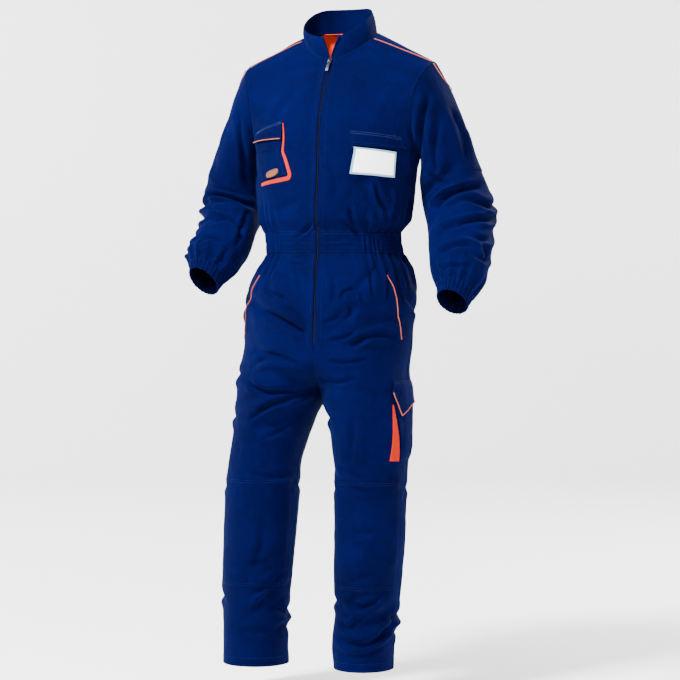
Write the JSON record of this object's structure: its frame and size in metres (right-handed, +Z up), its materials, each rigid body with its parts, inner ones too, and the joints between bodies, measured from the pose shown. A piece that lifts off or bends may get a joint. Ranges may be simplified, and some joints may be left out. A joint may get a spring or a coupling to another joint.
{
  "type": "boiler suit",
  "caption": "Long-sleeved one-piece work suit, hollow as worn: stand collar, zip front, elastic waist, gathered cuffs, flap pockets, badge holder and contrast piping.",
  "frame": {"origin": "middle of the neck seam, where the suit hangs on its wearer's neck and shoulders", "axes": "+X to the wearer's left, -Y to the front, +Z up"},
  "size_m": [0.763, 0.319, 1.6191],
  "materials": {
    "navy_cloth": "matt cotton-polyester twill",
    "orange_cloth": "matt plain-weave trim",
    "zip_tape": "woven tape with a closed row of teeth",
    "zip_metal": "nickel-grey zip slider and pull",
    "badge_vinyl": "clear flexible vinyl, welded edge",
    "badge_card": "blank white card",
    "label": "bare woven label"
  },
  "bodies": {
    "garment": {"badge_card": "badge_card", "badge_holder": "badge_vinyl", "bodice_back": "navy_cloth", "bodice_front_left": "navy_cloth", "bodice_front_right": "navy_cloth", "cap_piping_left": "orange_cloth", "cap_piping_right": "orange_cloth", "cargo_flap": "navy_cloth", "cargo_gusset": "orange_cloth", "cargo_piping": "orange_cloth", "cargo_pocket": "navy_cloth", "chest_flap_left": "navy_cloth", "chest_flap_right": "navy_cloth", "chest_gusset_right": "orange_cloth", "chest_label_right": "label", "chest_piping_right": "orange_cloth", "chest_pocket_right": "navy_cloth", "collar": "navy_cloth", "cuff_left": "navy_cloth", "cuff_right": "navy_cloth", "knee_patch_left": "navy_cloth", "knee_patch_right": "navy_cloth", "neck_facing": "orange_cloth", "pen_pocket": "navy_cloth", "shoulder_piping_left": "orange_cloth", "shoulder_piping_right": "orange_cloth", "slant_piping_left": "orange_cloth", "slant_piping_right": "orange_cloth", "sleeve_left": "navy_cloth", "sleeve_right": "navy_cloth", "trouser_back_left": "navy_cloth", "trouser_back_right": "navy_cloth", "trouser_front_left": "navy_cloth", "trouser_front_right": "navy_cloth", "waistband": "navy_cloth", "yoke_left": "navy_cloth", "yoke_right": "navy_cloth", "zip_slider": "zip_metal", "zip_tape": "zip_tape"},
    "pull_tab": {"zip_pull_tab": "zip_metal"}
  },
  "joints": [
    {"name": "pull_tab_swing", "type": "hinge", "parent": "garment", "child": "pull_tab", "pos_m": [-0.00046, -0.08474, -0.07403], "axis": [-1, 0, 0], "range_deg": [0, 140]}
  ]
}
